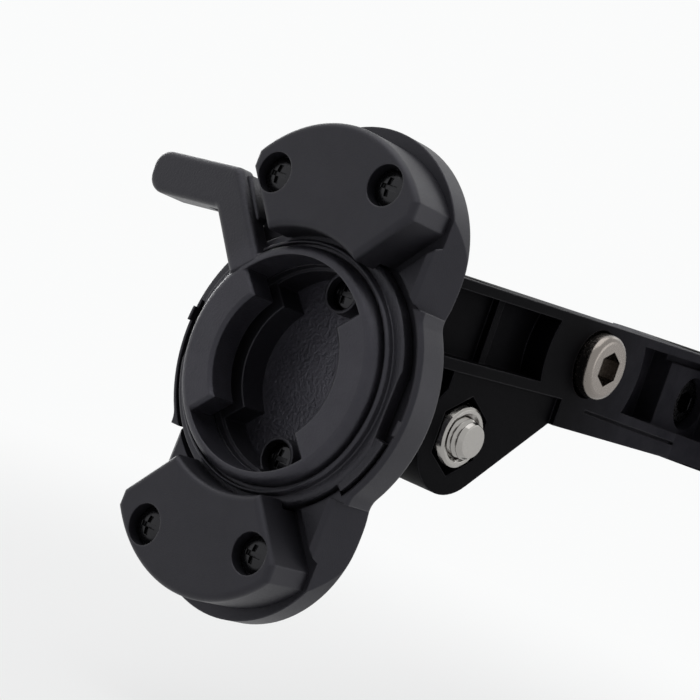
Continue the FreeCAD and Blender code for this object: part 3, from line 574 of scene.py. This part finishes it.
class MountLook(bpy.types.PropertyGroup):
    """Colours and finishes of the part."""

    plastic_dark: bpy.props.FloatVectorProperty(
        name="Plastic dark", description="Darker tone of the black nylon", subtype="COLOR", size=4,
        default=(0.0080, 0.0078, 0.0100, 1), min=0, max=1)
    plastic_light: bpy.props.FloatVectorProperty(
        name="Plastic light", description="Lighter tone of the black nylon", subtype="COLOR", size=4,
        default=(0.0160, 0.0155, 0.0190, 1), min=0, max=1)
    plastic_roughness: bpy.props.FloatProperty(
        name="Plastic roughness", description="Middle roughness of the black nylon", subtype="FACTOR",
        default=0.46, min=0, max=1)
    edge_round: bpy.props.FloatProperty(
        name="Edge rounding", description="Radius of the moulded edges", subtype="DISTANCE", unit="LENGTH",
        default=0.0003, min=0, max=0.002, precision=5)
    edge_gloss: bpy.props.FloatProperty(
        name="Edge roughness", description="Roughness of the edges, which handling has polished",
        subtype="FACTOR", default=0.16, min=0, max=1)
    # Painted highlight: a pale colour mixed into the edges, standing in for light that catches them
    painted_edge_highlight: bpy.props.FloatVectorProperty(
        name="Edge tone", description="Colour of the edges, which handling has rubbed pale",
        subtype="COLOR", size=4, default=(0.045, 0.044, 0.05, 1), min=0, max=1)
    # Painted light and shade on the lock ring: its face within this radius is paler and its lever darker, standing
    # in for how light falls on them
    painted_light_radius: bpy.props.FloatProperty(
        name="Worn radius", description="Distance from the socket at which the ring's worn, paler face ends",
        unit="LENGTH", default=0.0137, min=0)
    painted_light_spread: bpy.props.FloatProperty(
        name="Worn spread", description="Growth of the worn radius over which the ring turns darker",
        default=1.2, min=1)
    lever_painted_shade: bpy.props.FloatProperty(
        name="Lever tone", description="Tone of the lever as a share of the worn face's", default=0.25, min=0)
    # Painted shade on the arm: it is darkest near the socket, where the head shades it, and paler towards the
    # clamp
    unshaded_start: bpy.props.FloatProperty(
        name="Dust start", description="Distance from the socket at which the arm begins to be dusty",
        unit="LENGTH", default=0.047, min=0)
    unshaded_end: bpy.props.FloatProperty(
        name="Dust end", description="Distance from the socket beyond which the arm is dusty all over",
        unit="LENGTH", default=0.064, min=0)
    unshaded_tone: bpy.props.FloatProperty(
        name="Dust tone", description="Tone of the dusty arm as a multiple of the clean arm's",
        default=12.0, min=0)
    sheen: bpy.props.FloatVectorProperty(
        name="Sheen", description="Tint of the nylon's sheen", subtype="COLOR", size=4,
        default=(0.89, 0.88, 1.0, 1), min=0, max=1)
    steel_colour: bpy.props.FloatVectorProperty(
        name="Steel", description="Colour of the bright screws", subtype="COLOR", size=4,
        default=(0.34, 0.328, 0.312, 1), min=0, max=1)
    screw_colour: bpy.props.FloatVectorProperty(
        name="Arm screw", description="Colour of the plain steel screw in the arm", subtype="COLOR", size=4,
        default=(0.21, 0.19, 0.174, 1), min=0, max=1)
    black_steel_colour: bpy.props.FloatVectorProperty(
        name="Black steel", description="Colour of the blackened screws", subtype="COLOR", size=4,
        default=(0.032, 0.032, 0.034, 1), min=0, max=1)
    rubber_colour: bpy.props.FloatVectorProperty(
        name="Rubber", description="Colour of the clamp liners", subtype="COLOR", size=4,
        default=(0.014, 0.014, 0.014, 1), min=0, max=1)


class MountStage(bpy.types.PropertyGroup):
    """Camera, floor and light."""

    eye: bpy.props.FloatVectorProperty(
        name="Eye", description="Camera position in the head's own frame", subtype="XYZ", unit="LENGTH",
        default=(0.14554, -0.16771, 0.00608))
    forward: bpy.props.FloatVectorProperty(
        name="Forward", description="Viewing direction in the head's own frame", subtype="DIRECTION",
        default=(-0.62928, 0.77714, -0.00743))
    up: bpy.props.FloatVectorProperty(
        name="Up", description="Picture's upward direction in the head's own frame", subtype="DIRECTION",
        default=(-0.29274, -0.22817, 0.92857))
    lens: bpy.props.FloatProperty(
        name="Lens", description="Focal length on a 36 mm wide sensor, in millimetres",
        default=102.857, min=1)
    floor_colour: bpy.props.FloatVectorProperty(
        name="Floor", description="Colour of the floor", subtype="COLOR", size=4,
        default=(0.92, 0.92, 0.92, 1), min=0, max=1)
    backdrop: bpy.props.FloatVectorProperty(
        name="Backdrop", description="Colour of the backdrop", subtype="COLOR", size=4,
        default=(0.96, 0.965, 0.965, 1), min=0, max=1)
    fade_near: bpy.props.FloatProperty(
        name="Fade near", description="Share of the backdrop in the floor under the head", subtype="FACTOR",
        default=0.78, min=0, max=1)
    fade_start: bpy.props.FloatProperty(
        name="Fade start", description="Distance at which the floor begins to fade into the backdrop",
        unit="LENGTH", default=0.05, min=0)
    fade_end: bpy.props.FloatProperty(
        name="Fade end", description="Distance at which the floor is the same as the backdrop",
        unit="LENGTH", default=0.18, min=0)
    world_colour: bpy.props.FloatVectorProperty(
        name="Surround", description="Colour of the light from all round", subtype="COLOR", size=4,
        default=(0.96, 0.97, 1.0, 1), min=0, max=1)
    world_level: bpy.props.FloatProperty(
        name="Surround level", description="Strength of the light from all round", default=0.06, min=0)
    top_way: bpy.props.FloatVectorProperty(
        name="Top light", description="Direction of the top softbox from the head", subtype="DIRECTION",
        default=(-0.15, -0.1, 1.0))
    top_distance: bpy.props.FloatProperty(
        name="Top distance", description="Distance of the top softbox", unit="LENGTH", default=0.9, min=0)
    top_size: bpy.props.FloatProperty(
        name="Top size", description="Side of the top softbox", unit="LENGTH", default=1.0, min=0)
    top_power: bpy.props.FloatProperty(
        name="Top power", description="Power of the top softbox", subtype="POWER", default=4.4, min=0)
    front_way: bpy.props.FloatVectorProperty(
        name="Front light", description="Direction of the front softbox from the head", subtype="DIRECTION",
        default=(-0.62, -0.75, 0.2))
    front_distance: bpy.props.FloatProperty(
        name="Front distance", description="Distance of the front softbox", unit="LENGTH", default=0.8, min=0)
    front_size: bpy.props.FloatProperty(
        name="Front size", description="Side of the front softbox", unit="LENGTH", default=0.6, min=0)
    front_power: bpy.props.FloatProperty(
        name="Front power", description="Power of the front softbox", subtype="POWER", default=0.06, min=0)
    right_way: bpy.props.FloatVectorProperty(
        name="Right light", description="Direction of the right softbox from the head", subtype="DIRECTION",
        default=(0.73, 0.66, 0.16))
    right_distance: bpy.props.FloatProperty(
        name="Right distance", description="Distance of the right softbox", unit="LENGTH", default=0.9, min=0)
    right_size: bpy.props.FloatProperty(
        name="Right size", description="Side of the right softbox", unit="LENGTH", default=0.4, min=0)
    right_power: bpy.props.FloatProperty(
        name="Right power", description="Power of the right softbox", subtype="POWER", default=0.65, min=0)
    back_way: bpy.props.FloatVectorProperty(
        name="Back light", description="Direction of the back softbox from the head", subtype="DIRECTION",
        default=(0.0, 0.78, 0.62))
    back_distance: bpy.props.FloatProperty(
        name="Back distance", description="Distance of the back softbox", unit="LENGTH", default=0.9, min=0)
    back_size: bpy.props.FloatProperty(
        name="Back size", description="Side of the back softbox", unit="LENGTH", default=0.3, min=0)
    back_power: bpy.props.FloatProperty(
        name="Back power", description="Power of the back softbox", subtype="POWER", default=0.3, min=0)
    rim_way: bpy.props.FloatVectorProperty(
        name="Rim light", description="Direction of the rim softbox from the head", subtype="DIRECTION",
        default=(-0.86, 0.48, 0.2))
    rim_distance: bpy.props.FloatProperty(
        name="Rim distance", description="Distance of the rim softbox", unit="LENGTH", default=0.9, min=0)
    rim_size: bpy.props.FloatProperty(
        name="Rim size", description="Side of the rim softbox", unit="LENGTH", default=0.45, min=0)
    rim_power: bpy.props.FloatProperty(
        name="Rim power", description="Power of the rim softbox", subtype="POWER", default=2.6, min=0)


class MOUNT_OT_moulded_parts(bpy.types.Operator):
    """Finish the moulded nylon pieces"""

    bl_idname = "mount.moulded_parts"
    bl_label = "Moulded parts"

    def execute(self, context):
        look = context.scene.mount_look
        satin = look.plastic_roughness
        dress(("base_plate", "upper_cover", "lower_cover"), moulded(
            "black_nylon", look, grain=0.16, depth=0.02, lift=1.0, roughness=satin, specular=0.36))
        # The lock ring's raised lift and its fade paint light on its face and shade on its lever
        painted_lit = (look.painted_light_radius, look.painted_light_radius * look.painted_light_spread, look.lever_painted_shade)
        dress(("lock_ring",), moulded(
            "ring_nylon", look, grain=0.24, depth=0.06, lift=2.3, roughness=satin - 0.06, specular=0.42,
            fade=painted_lit))
        dress(("hinge_bracket",), moulded(
            "coarse_nylon", look, grain=0.42, depth=0.13, lift=4.6, roughness=satin - 0.14, specular=0.55))
        # The arm is a shaded copy of the nylon: its very low tone and specular level are painted shade, and the
        # fade makes it paler away from the socket
        unshaded = (look.unshaded_start, look.unshaded_end, look.unshaded_tone)
        dress(("arm_right_half", "arm_left_half", "friction_washers"), moulded(
            "arm_nylon", look, grain=0.16, depth=0.025, lift=0.2, roughness=satin + 0.06, specular=0.025,
            fade=unshaded))
        return {"FINISHED"}


class MOUNT_OT_lever_rib(bpy.types.Operator):
    """Make the rib that stiffens the lever's bar from behind"""

    bl_idname = "mount.lever_rib"
    bl_label = "Lever rib"

    def execute(self, context):
        rib = rib_behind_lever("lever_rib", context.scene.mount_lever)
        rib.data.materials.append(NODES["lock_ring"].data.materials[0])
        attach(rib, "ring")
        return {"FINISHED"}


class MOUNT_OT_hardware(bpy.types.Operator):
    """Finish the screws and nuts, and make the hinge bolt with its thread and the hinge nut with its bevel"""

    bl_idname = "mount.hardware"
    bl_label = "Hardware"

    def execute(self, context):
        look = context.scene.mount_look
        bright = metal("bright_steel", look.steel_colour, roughness=0.15, scratch=0.01)
        black = metal("black_steel", look.black_steel_colour, roughness=0.26, scratch=0.008)
        plain = metal("plain_steel", look.screw_colour, roughness=0.22, scratch=0.012)
        dark = metal("dark_steel", look.black_steel_colour, roughness=0.16, scratch=0.006)
        dress(("arm_nut", "front_clamp_nut", "rear_clamp_nut"), bright)
        dress(("arm_screw",), plain)
        dress(("upper_cover_screws", "lower_cover_screws", "front_clamp_screw", "rear_clamp_screw"), black)
        dress(("cup_floor_screws",), dark)
        sizes = context.scene.mount_hardware
        for piece, node in ((threaded_bolt("threaded_hinge_bolt", sizes), "hinge_bolt"),
                            (bevelled_nut("bevelled_hinge_nut", sizes), "hinge_nut")):
            piece.data.materials.append(bright)
            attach(piece, "arm")
            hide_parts(node)
        return {"FINISHED"}


class MOUNT_OT_liners(bpy.types.Operator):
    """Finish the rubber liners of the post clamp"""

    bl_idname = "mount.liners"
    bl_label = "Clamp liners"

    def execute(self, context):
        dress(("liner_right", "liner_left"), rubber("liner_rubber", context.scene.mount_look, depth=0.03))
        return {"FINISHED"}


class MOUNT_OT_stage(bpy.types.Operator):
    """Make the pale floor, the studio light and the camera"""

    bl_idname = "mount.stage"
    bl_label = "Floor, light and camera"

    def execute(self, context):
        scene = context.scene
        stage = scene.mount_stage
        pale_floor(scene, stage)
        studio_world(scene, stage)
        aim = HEAD.translation
        for side in ("top", "front", "right", "back", "rim"):
            way = Vector(getattr(stage, side + "_way")).normalized()
            area_lamp(side + "_softbox", aim + way * getattr(stage, side + "_distance"), aim,
                      getattr(stage, side + "_size"), getattr(stage, side + "_power"))
        photo_camera(scene, stage)
        scene.view_settings.view_transform = "Standard"
        return {"FINISHED"}


class MOUNT_PT_panel(bpy.types.Panel):
    """Sidebar panel of the part"""

    bl_idname = "MOUNT_PT_panel"
    bl_label = "Seatpost light mount"
    bl_space_type = "VIEW_3D"
    bl_region_type = "UI"
    bl_category = "Light mount"

    def draw(self, context):
        scene = context.scene
        for group in (scene.mount_lever, scene.mount_hardware, scene.mount_look, scene.mount_stage):
            for key in group.__annotations__:
                self.layout.prop(group, key)
        for operator in STEPS:
            self.layout.operator(operator.bl_idname)


STEPS = (MOUNT_OT_moulded_parts, MOUNT_OT_lever_rib, MOUNT_OT_hardware, MOUNT_OT_liners, MOUNT_OT_stage)
CLASSES = (MountLever, MountHardware, MountLook, MountStage, *STEPS, MOUNT_PT_panel)


def register():
    for cls in CLASSES:
        bpy.utils.register_class(cls)
    bpy.types.Scene.mount_lever = bpy.props.PointerProperty(type=MountLever)
    bpy.types.Scene.mount_hardware = bpy.props.PointerProperty(type=MountHardware)
    bpy.types.Scene.mount_look = bpy.props.PointerProperty(type=MountLook)
    bpy.types.Scene.mount_stage = bpy.props.PointerProperty(type=MountStage)


def unregister():
    del bpy.types.Scene.mount_stage
    del bpy.types.Scene.mount_look
    del bpy.types.Scene.mount_hardware
    del bpy.types.Scene.mount_lever
    for cls in reversed(CLASSES):
        bpy.utils.unregister_class(cls)


def main():
    register()
    bpy.ops.mount.moulded_parts()
    bpy.ops.mount.lever_rib()
    bpy.ops.mount.hardware()
    bpy.ops.mount.liners()
    bpy.ops.mount.stage()


if __name__ == "__main__":
    main()
